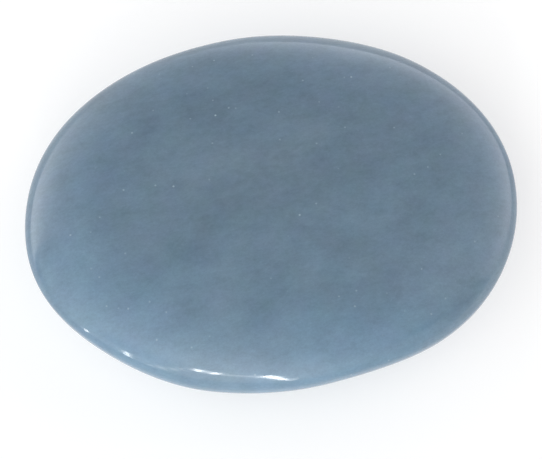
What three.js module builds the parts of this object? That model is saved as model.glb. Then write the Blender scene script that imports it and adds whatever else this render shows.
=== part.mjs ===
// A polished palm stone: one closed solid that lies on a small flat spot.
// Millimetres, +Z up, long axis along X, origin under the middle of the stone.

import * as THREE from 'three';

// Driving dimensions.
const length = 70;
const width = 55;
const thickness = 16;
const girthHeight = 9.5; // where the stone is widest, above the flat spot, on average

// The flat spot is a scaled copy of the plan outline, this share of its size.
const flatSpotShare = 0.3;

// Exponents of the rounded profile. 2 is an ellipse, and more is flatter with a tighter edge.
const topFullness = 2.8;
const undersideFullness = 2.6;

// The plan is an ellipse that shaping by hand left slightly uneven. Each entry adds soft
// corners: how many, how far they stand proud in millimetres, and the azimuth of one.
const softCorners = [
  { count: 3, proud: 0.2, azimuthDeg: -50 },
  { count: 4, proud: 0.2, azimuthDeg: -35 },
  { count: 6, proud: 0.1, azimuthDeg: 20 },
];

// The girth rises and falls around the stone in the same manner.
const girthWaves = [
  { count: 4, proud: 0.7, azimuthDeg: 20 },
];

// Facets of the solid.
const facetsAround = 96;
const ringsOnTop = 20;
const ringsUnderneath = 17;

// How far a list of waves stands proud at one azimuth, in radians.
function proudAt(waves, azimuth) {
  let proud = 0;
  for (const wave of waves) {
    const offset = THREE.MathUtils.degToRad(wave.azimuthDeg);
    proud += wave.proud * Math.cos(wave.count * (azimuth - offset));
  }
  return proud;
}

// Distance from the axis to the plan outline at one azimuth, in radians.
function outlineRadius(azimuth) {
  const halfLength = length / 2;
  const halfWidth = width / 2;
  const ellipse = halfLength * halfWidth
    / Math.hypot(halfWidth * Math.cos(azimuth), halfLength * Math.sin(azimuth));
  return ellipse + proudAt(softCorners, azimuth);
}

// Profile from the flat spot up to the crown. x is the share of the outline radius.
// y is the level: -1 on the flat spot, 0 at the girth and 1 on the crown.
function profilePoints() {
  const quarterTurn = Math.PI / 2;
  const points = [new THREE.Vector2(0, -1)];
  for (let ring = 0; ring <= ringsUnderneath; ring += 1) {
    const swing = quarterTurn * ring / ringsUnderneath;
    const share = flatSpotShare + (1 - flatSpotShare) * Math.sin(swing) ** (2 / undersideFullness);
    points.push(new THREE.Vector2(share, -Math.cos(swing)));
  }
  for (let ring = ringsOnTop - 1; ring > 0; ring -= 1) {
    const swing = quarterTurn * ring / ringsOnTop;
    const share = Math.sin(swing) ** (2 / topFullness);
    points.push(new THREE.Vector2(share, Math.cos(swing)));
  }
  points.push(new THREE.Vector2(0, 1));
  return points;
}

// A round stone of unit radius, turned up to +Z and then spread out to its plan and heights.
function stoneGeometry() {
  const geometry = new THREE.LatheGeometry(profilePoints(), facetsAround);
  geometry.rotateX(Math.PI / 2);
  const positions = geometry.getAttribute('position');
  for (let index = 0; index < positions.count; index += 1) {
    const x = positions.getX(index);
    const y = positions.getY(index);
    const level = positions.getZ(index);
    const azimuth = Math.atan2(y, x);
    const radius = outlineRadius(azimuth);
    const girth = girthHeight + proudAt(girthWaves, azimuth);
    const room = level > 0 ? thickness - girth : girth;
    positions.setXYZ(index, x * radius, y * radius, girth + level * room);
  }

  // The soft corners change the extent a little, so it is brought back to the stated size.
  geometry.computeBoundingBox();
  const middle = geometry.boundingBox.getCenter(new THREE.Vector3());
  const extent = geometry.boundingBox.getSize(new THREE.Vector3());
  geometry.translate(-middle.x, -middle.y, 0);
  geometry.scale(length / extent.x, width / extent.y, 1);
  geometry.computeVertexNormals();
  return geometry;
}

const polishedStone = new THREE.MeshStandardMaterial({
  color: 0x6e8294,
  roughness: 0.18,
  metalness: 0,
});

const palmStone = new THREE.Mesh(stoneGeometry(), polishedStone);
palmStone.name = 'palm_stone';

const group = new THREE.Group();
group.add(palmStone);

export default group;
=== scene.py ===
import math

import bpy
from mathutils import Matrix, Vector


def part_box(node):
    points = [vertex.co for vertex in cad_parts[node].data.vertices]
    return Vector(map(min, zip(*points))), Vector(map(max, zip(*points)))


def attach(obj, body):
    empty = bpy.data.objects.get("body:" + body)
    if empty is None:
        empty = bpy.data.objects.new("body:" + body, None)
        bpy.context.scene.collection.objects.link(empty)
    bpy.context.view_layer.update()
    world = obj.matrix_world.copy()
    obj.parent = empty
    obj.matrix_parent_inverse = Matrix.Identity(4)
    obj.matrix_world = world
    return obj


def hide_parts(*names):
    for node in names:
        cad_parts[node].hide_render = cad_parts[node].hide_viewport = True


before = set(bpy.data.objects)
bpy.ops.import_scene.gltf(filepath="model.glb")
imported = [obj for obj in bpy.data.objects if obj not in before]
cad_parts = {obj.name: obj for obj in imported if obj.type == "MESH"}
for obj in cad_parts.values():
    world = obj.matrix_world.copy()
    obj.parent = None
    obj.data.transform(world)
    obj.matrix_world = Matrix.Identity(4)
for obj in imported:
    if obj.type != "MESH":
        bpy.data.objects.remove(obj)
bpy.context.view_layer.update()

mm = 0.001
stoneLow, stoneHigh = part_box("palm_stone")
print("frame loaded")


# arithmetic on a Field adds Math nodes to its tree, so a rule can be written as a formula
class Field:
    def __init__(self, tree, socket):
        self.tree = tree
        self.socket = socket

    def calc(self, operation, *others):
        node = self.tree.nodes.new("ShaderNodeMath")
        node.operation = operation
        for slot, value in zip(node.inputs, (self, *others)):
            plug(self.tree, slot, value)
        return Field(self.tree, node.outputs[0])

    def __add__(self, other):
        return self.calc("ADD", other)

    def __sub__(self, other):
        return self.calc("SUBTRACT", other)

    def __mul__(self, other):
        return self.calc("MULTIPLY", other)

    def __truediv__(self, other):
        return self.calc("DIVIDE", other)

    def __pow__(self, other):
        return self.calc("POWER", other)


# a socket takes a link from a Field or another socket, or a plain value
def plug(tree, slot, value):
    if isinstance(value, Field):
        value = value.socket
    if isinstance(value, bpy.types.NodeSocket):
        tree.links.new(value, slot)
    else:
        slot.default_value = value


def addNode(tree, kind, inputs, **settings):
    node = tree.nodes.new(kind)
    for name, value in settings.items():
        setattr(node, name, value)
    for name, value in inputs.items():
        plug(tree, node.inputs[name], value)
    return node


def vectorMath(tree, operation, *values):
    node = tree.nodes.new("ShaderNodeVectorMath")
    node.operation = operation
    for slot, value in zip(node.inputs, values):
        plug(tree, slot, value)
    return node


def scaled(tree, vector, factor):
    node = vectorMath(tree, "SCALE", vector)
    plug(tree, node.inputs["Scale"], factor)
    return node.outputs[0]


# the stone's form, the same rule as the solid's
stone = {
    "length": stoneHigh[0] - stoneLow[0],
    "width": stoneHigh[1] - stoneLow[1],
    "thickness": stoneHigh[2] - stoneLow[2],
    "girthHeight": 9.5 * mm,  # where it is widest
    "flatSpotShare": 0.3,  # of the plan outline
    "topFullness": 2.8,  # 2 is an ellipse, more is flatter
    "undersideFullness": 2.6,
    "softCorners": [  # how many, how proud, azimuth of one in degrees
        (3, 0.2 * mm, -50),
        (4, 0.2 * mm, -35),
        (6, 0.1 * mm, 20),
        (5, 0.04 * mm, -14),  # this one and the next four are finer than the solid's
        (7, 0.05 * mm, -5),
        (8, 0.05 * mm, 10),
        (9, 0.04 * mm, -2),
        (10, 0.03 * mm, 17),
    ],
    "girthWaves": [(4, 0.7 * mm, 20)],
    "vertsPerSide": 128,  # of the cube that the mesh starts from
    "waveHeight": 0.08 * mm,  # slow unevenness that hand polishing leaves
    "waveSize": 9 * mm,
    "waveDetail": 1.0,
    "waveFade": 1 * mm,  # how high over the flat spot it reaches its full height
    "seed": 7.0,
}


def proudAt(azimuth, waves):
    proud = azimuth * 0
    for count, height, degrees in waves:
        proud = proud + ((azimuth - math.radians(degrees)) * count).calc("COSINE") * height
    return proud


def stoneTree(values, material):
    tree = bpy.data.node_groups.new("stoneForm", "GeometryNodeTree")
    sockets = tree.interface
    sockets.new_socket("Geometry", in_out="INPUT", socket_type="NodeSocketGeometry")
    sockets.new_socket("Geometry", in_out="OUTPUT", socket_type="NodeSocketGeometry")
    named = ["Length", "Width", "Thickness", "Girth height", "Flat spot share", "Top fullness",
             "Underside fullness", "Wave height", "Wave size", "Seed"]
    for name in named:
        sockets.new_socket(name, in_out="INPUT", socket_type="NodeSocketFloat")
    sockets.new_socket("Verts per side", in_out="INPUT", socket_type="NodeSocketInt")
    given = tree.nodes.new("NodeGroupInput").outputs
    size = {name: Field(tree, given[name]) for name in named}

    # an evenly meshed ball: each face of a cube is spread by equal angles, then pushed out to radius 1
    cube = addNode(tree, "GeometryNodeMeshCube", {
        "Size": (2, 2, 2), "Vertices X": given["Verts per side"],
        "Vertices Y": given["Verts per side"], "Vertices Z": given["Verts per side"]})
    place = tree.nodes.new("GeometryNodeInputPosition").outputs[0]
    spread = vectorMath(tree, "MULTIPLY", place, (math.pi / 4,) * 3)
    spread = vectorMath(tree, "TANGENT", spread.outputs[0])
    ballPlace = vectorMath(tree, "NORMALIZE", spread.outputs[0])
    ball = addNode(tree, "GeometryNodeSetPosition", {
        "Geometry": cube.outputs["Mesh"], "Position": ballPlace.outputs[0]})

    axes = addNode(tree, "ShaderNodeSeparateXYZ", {"Vector": place})
    x, y, z = (Field(tree, axes.outputs[name]) for name in "XYZ")
    share = (x * x + y * y) ** 0.5
    azimuth = y.calc("ARCTAN2", x)

    # plan outline
    halfLength = size["Length"] * 0.5
    halfWidth = size["Width"] * 0.5
    squares = (halfWidth * azimuth.calc("COSINE")) ** 2 + (halfLength * azimuth.calc("SINE")) ** 2
    radius = halfLength * halfWidth / squares ** 0.5 + proudAt(azimuth, values["softCorners"])

    # height over the plan
    girth = size["Girth height"] + proudAt(azimuth, values["girthWaves"])
    topShare = (share ** size["Top fullness"]) * -1 + 1
    topHeight = girth + (size["Thickness"] - girth) * topShare.calc("MAXIMUM", 0) ** 0.5
    pastFlat = (share - size["Flat spot share"]) / (size["Flat spot share"] * -1 + 1)
    lowShare = (pastFlat.calc("MAXIMUM", 0) ** size["Underside fullness"]) * -1 + 1
    lowHeight = girth - girth * lowShare.calc("MAXIMUM", 0) ** 0.5
    isTop = z.calc("GREATER_THAN", 0)
    height = lowHeight + (topHeight - lowHeight) * isTop

    reach = radius * share
    stonePlace = addNode(tree, "ShaderNodeCombineXYZ", {
        "X": reach * azimuth.calc("COSINE"), "Y": reach * azimuth.calc("SINE"), "Z": height})
    body = addNode(tree, "GeometryNodeSetPosition", {
        "Geometry": ball.outputs[0], "Position": stonePlace.outputs[0]})

    # slow unevenness, fading out on the flat spot so that the stone still lies flat; z is its height by now
    wave = addNode(tree, "ShaderNodeTexNoise", {
        "Vector": place, "W": size["Seed"], "Scale": Field(tree, given["Wave size"]) ** -1,
        "Detail": values["waveDetail"]}, noise_dimensions="4D")
    offFloor = (z / values["waveFade"]).calc("MINIMUM", 1)
    lift = (Field(tree, wave.outputs[0]) - 0.5) * size["Wave height"] * offFloor.calc("MAXIMUM", 0)
    normal = tree.nodes.new("GeometryNodeInputNormal").outputs[0]
    uneven = addNode(tree, "GeometryNodeSetPosition", {
        "Geometry": body.outputs[0], "Offset": scaled(tree, normal, lift)})

    # the soft corners change the extent a little, so it is brought back to the stated size
    extent = addNode(tree, "GeometryNodeBoundBox", {"Geometry": uneven.outputs[0]})
    span = vectorMath(tree, "SUBTRACT", extent.outputs["Max"], extent.outputs["Min"])
    wanted = addNode(tree, "ShaderNodeCombineXYZ", {
        "X": given["Length"], "Y": given["Width"], "Z": given["Thickness"]})
    grow = vectorMath(tree, "DIVIDE", wanted.outputs[0], span.outputs[0])
    middle = vectorMath(tree, "ADD", extent.outputs["Max"], extent.outputs["Min"])
    middle = vectorMath(tree, "MULTIPLY", middle.outputs[0], (-0.5, -0.5, 0))
    lowest = vectorMath(tree, "MULTIPLY", extent.outputs["Min"], (0, 0, -1))
    shift = vectorMath(tree, "ADD", middle.outputs[0], lowest.outputs[0])
    shift = vectorMath(tree, "MULTIPLY", shift.outputs[0], grow.outputs[0])
    sized = addNode(tree, "GeometryNodeTransform", {
        "Geometry": uneven.outputs[0], "Translation": shift.outputs[0], "Scale": grow.outputs[0]})

    smooth = addNode(tree, "GeometryNodeSetShadeSmooth", {"Geometry": sized.outputs[0]})
    real = addNode(tree, "GeometryNodeRealizeInstances", {"Geometry": smooth.outputs[0]})
    coated = addNode(tree, "GeometryNodeSetMaterial", {
        "Geometry": real.outputs[0], "Material": material})
    out = tree.nodes.new("NodeGroupOutput")
    tree.links.new(coated.outputs[0], out.inputs[0])
    return tree


# runs a tree once and keeps its result as a plain mesh
def growPiece(name, tree, settings):
    carrier = bpy.data.objects.new(name + "Carrier", bpy.data.meshes.new(name + "Carrier"))
    bpy.context.scene.collection.objects.link(carrier)
    modifier = carrier.modifiers.new(name, "NODES")
    modifier.node_group = tree
    for item in tree.interface.items_tree:
        if item.in_out == "INPUT" and item.name in settings:
            modifier[item.identifier] = settings[item.name]
    graph = bpy.context.evaluated_depsgraph_get()
    mesh = bpy.data.meshes.new_from_object(carrier.evaluated_get(graph))
    carrier.modifiers.remove(modifier)
    bpy.data.objects.remove(carrier)
    mesh.name = name
    piece = bpy.data.objects.new(name, mesh)
    bpy.context.scene.collection.objects.link(piece)
    return piece


# cloudy blue-grey mineral, polished to a soft gloss
finish = {
    "deepTone": (0.106, 0.161, 0.213, 1),
    "paleTone": (0.164, 0.245, 0.322, 1),
    "roughness": 0.09,
    "ior": 1.57,
    "bend": 2.5 * mm,  # how far the wisps wander
    "bendSize": 7 * mm,
    "bendDetail": 5.0,
    "bendGrit": 0.6,
    "wispDepth": 7 * mm,  # how deep a wisp on the crown reaches into the stone
    "wispContrast": 0.16,
    "wisps": [  # x, y, tilt in degrees, long, wide, strength; below zero is dark
        (-18, 10, 3, 9, 3, -0.7),
        (-7, 12, -20, 6.5, 3.5, -1),
        (4, 13, 0, 8, 3.5, -1),
        (6, 16, -60, 7, 2, -0.8),
        (-8, -3, 30, 7, 4, -1),
        (-14, -7.5, 35, 6, 4, -1),
        (-19, -10.5, 20, 5, 4, -1),
        (-1, -2, 0, 7, 3, -0.9),
        (8, -0.7, 12, 10, 3, -1),
        (14.5, 3, 55, 5, 2.5, -0.7),
        (22, 5, 15, 7, 2.5, -0.5),
        (8, -11, -5, 5, 3, -0.7),
        (19, -9.5, -10, 7, 2.5, -0.8),
        (-4, -18, 10, 5, 3.5, -0.9),
        (-13, -16.5, 0, 4, 3.5, -0.8),
        (-10, 3.5, 8, 14, 4, 0.9),
        (3, 8, 5, 13, 4, 1),
        (-5, 17, -35, 6, 3, 0.7),
        (13, -6, 0, 7, 3, 0.7),
        (-15, -14, 45, 7, 3, 0.6),
        (2, -13, -60, 6, 3, 0.5),
        (20, -15, -60, 5, 3, 0.5),
        (-16, 13, 70, 6, 4, -1.2),
        (-22, 8, 10, 5, 3, -1),
        (-1, 15, 5, 8, 3, -0.9),
        (-4, 0, 10, 6, 3, -1),
        (8, 2, 0, 7, 3.5, -1),
        (17, 7, -15, 7, 4, -0.8),
        (-13, -7, -30, 7, 3.5, -0.9),
        (19, -7.5, 30, 7, 3.5, -0.9),
        (-12, 6, 50, 7, 4, 1),
        (-7, -9, -70, 7, 3.5, 0.8),
        (4, -11, 80, 5, 3.5, 1),
        (15, -3, 0, 6, 3.5, 0.8),
    ],
    "cloudTilt": 8,  # degrees, the way the fine clouds are drawn out
    "cloudSize": (9 * mm, 6 * mm, 7 * mm),
    "cloudDetail": 6.0,
    "cloudGrit": 0.95,  # how strong each finer layer of cloud is beside the one before
    "cloudContrast": 2.1,
    "hueSize": 3.5 * mm,
    "hueDetail": 2.0,
    "hueDrift": 0.11,
    "huesAndPaintedLight": [  # x, y, tilt, long, wide, what red, green and blue gain in its middle
        (0, -26, -5, 42, 18, (-0.04, 0.06, 0.12)),  # painted light: the cool blue of the light in front, a clearer blue towards the front
        (-24, -15, -45, 22, 12, (0.0, 0.09, 0.16)),  # painted light: the same cool blue cast at the front left
        # painted highlight: a warm, paler cast along the strip where the front rim's highlight runs
        (-13, -24, -20, 10, 4, (0.08, 0.06, 0.04)),
        # painted light: bluer along the front middle, from the cool front light
        (10, -24, 12, 20, 7, (0.03, 0.08, 0.11)),
        (23, -14, 40, 15, 9, (0.11, 0.1, 0.1)),  # painted light: paler at the front right, where the front right light falls
        (33, 4, 90, 14, 6, (-0.06, 0.0, 0.04)),
        (1, 5, 5, 28, 14, (0.01, -0.03, -0.05)),  # a greyer middle
        (-10, 15, 20, 18, 8, (-0.08, -0.07, -0.07)),  # deeper at the back left
        (-26, 4, 60, 15, 9, (-0.03, 0.0, 0.04)),
        (-14, -10, 0, 8, 6, (-0.03, 0.01, 0.04)),
        (-28, -5, 90, 10, 6, (0.12, 0.12, 0.12)),  # painted light: paler at the left end, where the left light falls
        (13, -26, 28, 20, 4.5, (-0.14, -0.12, -0.1)),  # painted shade: darker along the front rim, dimming its outer band
        # painted shade: the same along the front left rim
        (-29, -16, -50, 14, 4, (-0.1, -0.1, -0.1)),
        (19, -21.5, 26, 7, 0.6, (-0.07, -0.06, -0.05)),  # painted shade: a faint dark line along the front right rim, with the next two rows
        (25, -18.3, 34, 6, 0.5, (-0.07, -0.06, -0.05)),
        (29, -14, 52, 4, 0.6, (-0.07, -0.06, -0.05)),
    ],
    "speckTone": (0.36, 0.46, 0.52, 1),
    "speckSize": 0.22 * mm,
    "speckSpacing": 2.6 * mm,
    "smallSpecks": 0.4,  # how strong the scattered ones are
    "speckRoughness": 0.2,  # what a speck and a cloud add to the roughness
    "cloudRoughness": 0.02,
    "specks": [  # x, y, strength of the brightest ones on the crown
        (-6.5, 12.5, 1), (13.5, 17, 0.9), (-13.5, 2, 0.8), (3.5, -4.5, 0.8), (-28.5, -3, 0.7),
        (-18.5, 11.5, 0.6), (-20.5, 2.5, 0.6), (20, -20, 0.6), (6.5, 17, 0.5), (27.5, -10, 0.5),
        (-4.5, 13.5, 0.5), (9.5, -18.5, 0.5), (-21.5, -15, 0.5), (-16, 2.5, 0.5), (2.5, 12, 0.5),
        (6, -3, 0.4), (11.5, 8.5, 0.4), (12.5, 17, 0.3),
    ],
}


# 1 in the middle of a soft ellipsoid and 0 outside it
def softSpot(tree, place, centre, size, tilt=0):
    local = addNode(tree, "ShaderNodeMapping", {
        "Vector": place, "Location": centre, "Rotation": (0, 0, math.radians(tilt)), "Scale": size},
        vector_type="TEXTURE")
    away = vectorMath(tree, "LENGTH", local.outputs[0]).outputs["Value"]
    fade = addNode(tree, "ShaderNodeMapRange", {
        "Value": away, "From Min": 1.0, "From Max": 0.0}, interpolation_type="SMOOTHSTEP")
    return Field(tree, fade.outputs[0])


def mixTones(tree, share, first, second):
    mix = addNode(tree, "ShaderNodeMix", {"Factor": share}, data_type="RGBA")
    plug(tree, mix.inputs[6], first)  # by number, because each kind of value has its own A and B
    plug(tree, mix.inputs[7], second)
    return mix.outputs[2]


def stoneMaterial(values):
    material = bpy.data.materials.new("polishedStone")
    material.use_nodes = True
    tree = material.node_tree
    shader = tree.nodes["Principled BSDF"]
    shader.inputs["IOR"].default_value = values["ior"]
    place = tree.nodes.new("ShaderNodeTexCoord").outputs["Object"]

    def noise(where, size, detail, grit=0.5):
        node = addNode(tree, "ShaderNodeTexNoise", {
            "Vector": where, "Scale": 1 / size, "Detail": detail, "Roughness": grit})
        return node.outputs

    # a noise colour as a vector around zero, half of reach long at most along each axis
    def wander(colour, reach):
        centred = vectorMath(tree, "SUBTRACT", colour, (0.5, 0.5, 0.5))
        return vectorMath(tree, "MULTIPLY", centred.outputs[0], (reach,) * 3).outputs[0]

    # the wisps wander with a ragged bend
    ragged = noise(place, values["bendSize"], values["bendDetail"], values["bendGrit"])["Color"]
    bent = vectorMath(tree, "ADD", place, wander(ragged, values["bend"])).outputs[0]
    shade = None
    crown = stone["thickness"]
    for x, y, tilt, long, wide, strength in values["wisps"]:
        size = (long * mm, wide * mm, values["wispDepth"])
        spot = softSpot(tree, bent, (x * mm, y * mm, crown), size, tilt)
        spot = spot * (strength * values["wispContrast"])
        shade = spot if shade is None else shade + spot

    # fine clouds all through the stone
    turn = (0, 0, math.radians(values["cloudTilt"]))
    cloudPlace = addNode(tree, "ShaderNodeMapping", {
        "Vector": place, "Rotation": turn, "Scale": values["cloudSize"]}, vector_type="TEXTURE")
    clouds = noise(cloudPlace.outputs[0], 1.0, values["cloudDetail"], values["cloudGrit"])["Fac"]
    clouds = (Field(tree, clouds) - 0.5) * values["cloudContrast"]
    shade = shade + clouds + 0.5

    tone = mixTones(tree, shade, values["deepTone"], values["paleTone"])

    # the blue drifts a little towards green and violet, and some areas have a cast of their own; others are
    # painted light and shade: paler and bluer where the front and left light falls, a warm painted
    # highlight and painted shade along the front rim
    varied = noise(place, values["hueSize"], values["hueDetail"])["Color"]
    hueAndPaintedLight = vectorMath(tree, "ADD", wander(varied, values["hueDrift"]), (1, 1, 1)).outputs[0]
    for x, y, tilt, long, wide, gain in values["huesAndPaintedLight"]:
        size = (long * mm, wide * mm, crown * 2)  # right through the stone
        spot = softSpot(tree, place, (x * mm, y * mm, crown), size, tilt)
        hueAndPaintedLight = vectorMath(tree, "ADD", hueAndPaintedLight, scaled(tree, gain, spot)).outputs[0]
    driftedAndPaintedLight = vectorMath(tree, "MULTIPLY", tone, hueAndPaintedLight).outputs[0]

    # scattered pale specks
    cells = addNode(tree, "ShaderNodeTexVoronoi", {"Vector": place, "Scale": 1 / values["speckSpacing"]})
    reach = values["speckSize"] / values["speckSpacing"]
    speck = addNode(tree, "ShaderNodeMapRange", {
        "Value": cells.outputs["Distance"], "From Min": reach, "From Max": 0.0},
        interpolation_type="SMOOTHSTEP")
    speck = Field(tree, speck.outputs[0]) * values["smallSpecks"]
    for x, y, strength in values["specks"]:
        size = (values["speckSize"], values["speckSize"], crown / 2)  # deep enough to meet the dome
        speck = speck + softSpot(tree, place, (x * mm, y * mm, crown), size) * strength
    plug(tree, shader.inputs["Base Color"], mixTones(tree, speck, driftedAndPaintedLight, values["speckTone"]))
    dull = clouds * values["cloudRoughness"] + speck * values["speckRoughness"]
    plug(tree, shader.inputs["Roughness"], dull + values["roughness"])
    return material


polishedStone = stoneMaterial(finish)
palmStone = growPiece("palmStone", stoneTree(stone, polishedStone), {
    "Length": stone["length"], "Width": stone["width"], "Thickness": stone["thickness"],
    "Girth height": stone["girthHeight"], "Flat spot share": stone["flatSpotShare"],
    "Top fullness": stone["topFullness"], "Underside fullness": stone["undersideFullness"],
    "Wave height": stone["waveHeight"], "Wave size": stone["waveSize"], "Seed": stone["seed"],
    "Verts per side": stone["vertsPerSide"]})
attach(palmStone, "root")
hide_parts("palm_stone")
print("stone made:", len(palmStone.data.polygons), "faces")


floor = {
    "size": 3.0,  # metres
    "gap": 0.02 * mm,  # a hair below the flat spot, so that the two faces don't share a plane
    "tone": (0.6, 0.6, 0.6, 1),
    "roughness": 0.9,
    "glow": 0.44,  # lit from below like a light table, which keeps the stone's shadow faint
}


def paleFloor(values):
    half = values["size"] / 2
    corners = [(x * half, y * half, -values["gap"]) for x, y in ((-1, -1), (1, -1), (1, 1), (-1, 1))]
    mesh = bpy.data.meshes.new("floor")
    mesh.from_pydata(corners, [], [(0, 1, 2, 3)])
    ground = bpy.data.objects.new("floor", mesh)
    bpy.context.scene.collection.objects.link(ground)
    material = bpy.data.materials.new("paleFloor")
    material.use_nodes = True
    shader = material.node_tree.nodes["Principled BSDF"]
    shader.inputs["Base Color"].default_value = values["tone"]
    shader.inputs["Roughness"].default_value = values["roughness"]
    shader.inputs["Emission Color"].default_value = (1, 1, 1, 1)
    shader.inputs["Emission Strength"].default_value = values["glow"]
    mesh.materials.append(material)


paleFloor(floor)
print("floor made")


# unit vector at an azimuth and elevation, both in degrees; azimuth -90 is the camera's side
def direction(azimuth, elevation):
    across = math.cos(math.radians(elevation))
    return Vector((across * math.cos(math.radians(azimuth)),
                   across * math.sin(math.radians(azimuth)),
                   math.sin(math.radians(elevation))))


def aim(thing, target):
    thing.rotation_euler = (target - thing.location).to_track_quat("-Z", "Y").to_euler()


camera = {
    "azimuth": -96.5,
    "elevation": 65,
    "distance": 0.38,  # metres
    "viewWidth": 77.2 * mm,  # how much the frame takes in at the stone
    "lower": 2.4 * mm,  # the stone sits this much above the middle of the frame
    "sensorWidth": 36,  # millimetres
    "nearClip": 0.01,
}


def placeCamera(values, target):
    data = bpy.data.cameras.new("camera")
    data.sensor_width = values["sensorWidth"]
    data.lens = data.sensor_width * values["distance"] / values["viewWidth"]
    data.clip_start = values["nearClip"]
    eye = bpy.data.objects.new("camera", data)
    bpy.context.scene.collection.objects.link(eye)
    back = direction(values["azimuth"], values["elevation"])
    eye.location = target + back * values["distance"]
    up = direction(values["azimuth"], values["elevation"] - 90) * -1
    aim(eye, target - up * values["lower"])
    bpy.context.scene.camera = eye


stoneMiddle = Vector((0, 0, stone["thickness"] / 2))
placeCamera(camera, stoneMiddle)


# soft studio light: broad glows that fade into each other, with shades that end at a crisp edge
studio = {
    "glows": [  # azimuth, elevation, tightness, colour
        (-115, 22, 3, (2.42, 2.2, 2.05)),  # key, warm, from the front left
        (-125, 20, 8, (0.35, 0.6, 0.75)),  # cool light in front
        (-170, 20, 6, (0.65, 0.9, 1.05)),  # left
        (-45, 15, 6, (0.45, 0.55, 0.6)),  # front right
        (-165, 58, 14, (0.25, 0.3, 0.3)),  # high on the left
        (141, 8, 7.6, (2.5, 2.5, 2.55)),  # pale backdrop, left
        (74, -5, 8.6, (2.15, 2.25, 2.4)),  # pale backdrop, middle
        (25, 9, 7.1, (2.45, 2.35, 2.45)),  # pale backdrop, right
    ],
    # where the light is weaker, or stronger for a depth below zero; a radius of 180 leaves a shade whole
    "shades": [  # azimuth, elevation, tightness, depth, then azimuth, elevation and radius of the edge
        (153, 38, 20, 0.45, -118, 28, 77),
        (167, 8, 20, 0.7, -118, 28, 77),
        (157, 15, 25, -0.3, 62, -28, 103),
        (-17, 20, 25, 0.75, -124, -6, 111.5),
        (-8, 15, 25, -0.35, 56, 6, 68.5),
        (-38, 28, 30, 0.5, 122, 6, 136.5),
        (-20, 38, 30, 0.4, 122, 6, 136.5),
        (-120, 3, 10, 0.3, -120, 3, 180),
        (-133, 30, 30, 0.45, -133, 30, 180),
    ],
    "edgeWidth": 1.5,  # degrees
}


# 1 straight towards a direction, and less the further a place lies from it
def fadeFrom(tree, place, azimuth, elevation, tightness):
    facing = vectorMath(tree, "DOT_PRODUCT", place, direction(azimuth, elevation))
    return ((Field(tree, facing.outputs["Value"]) - 1) * tightness).calc("EXPONENT")


def studioLight(values):
    world = bpy.data.worlds.new("studio")
    bpy.context.scene.world = world
    world.use_nodes = True
    tree = world.node_tree
    place = tree.nodes.new("ShaderNodeTexCoord").outputs["Generated"]
    light = (0, 0, 0)
    for azimuth, elevation, tightness, colour in values["glows"]:
        fade = fadeFrom(tree, place, azimuth, elevation, tightness)
        light = vectorMath(tree, "ADD", light, scaled(tree, colour, fade)).outputs[0]

    for azimuth, elevation, tightness, depth, edgeAzimuth, edgeElevation, radius in values["shades"]:
        fade = fadeFrom(tree, place, azimuth, elevation, tightness)
        across = vectorMath(tree, "DOT_PRODUCT", place, direction(edgeAzimuth, edgeElevation))
        inside = Field(tree, across.outputs["Value"]) - math.cos(math.radians(radius))
        inside = (inside / math.radians(values["edgeWidth"])).calc("MAXIMUM", 0).calc("MINIMUM", 1)
        light = scaled(tree, light, fade * inside * -depth + 1)
    backdrop = tree.nodes["Background"]
    plug(tree, backdrop.inputs["Color"], light)
    backdrop.inputs["Strength"].default_value = 1


studioLight(studio)

# small lamps low in front: their light runs along the rounded rim as a broken bright line
rimLamps = {
    "distance": 1.0,  # metres
    "bright": 30.0,  # how bright a lamp's face is, whatever its size
    "lamps": [  # azimuth, elevation, wide and high in degrees, share of the brightness
        (-148, 4, 1.5, 9, 0.5),
        (-132.6, 7, 1.3, 15, 0.6),
        (-125.5, 2, 2.5, 7, 0.06),
        (-122.5, 9, 2.5, 9, 0.08),
        (-119.5, 16, 2, 7, 0.08),
        (-117.5, 23, 1.2, 5, 0.12),
        (-112.4, 28.3, 1.7, 5.5, 0.8),
        (-108.6, 26, 1.8, 5, 0.8),
        (-103.5, 24, 6, 3, 0.07),
        (-99.6, 23.5, 1.6, 6, 0.8),
        (-98, 20, 1.6, 6, 1.0),
        (-96.6, 15.5, 1.4, 6, 1.0),
        (-95.2, 11, 1.4, 6, 0.8),
        (-93.8, 7, 1.2, 6, 0.4),
        (-91.8, 8, 1.2, 12, 0.15),
    ],
}


def placeRimLamps(values, target):
    for number, (azimuth, elevation, wide, high, share) in enumerate(values["lamps"]):
        name = "rimLamp" + str(number)
        data = bpy.data.lights.new(name, "AREA")
        data.shape = "RECTANGLE"
        data.size = math.radians(wide) * values["distance"]
        data.size_y = math.radians(high) * values["distance"]
        data.energy = values["bright"] * share * math.pi * data.size * data.size_y
        lamp = bpy.data.objects.new(name, data)
        bpy.context.scene.collection.objects.link(lamp)
        lamp.location = target + direction(azimuth, elevation) * values["distance"]
        lamp.visible_camera = False
        aim(lamp, target)


placeRimLamps(rimLamps, stoneMiddle)
bpy.context.scene.view_settings.view_transform = "Standard"
print("camera and lights placed")
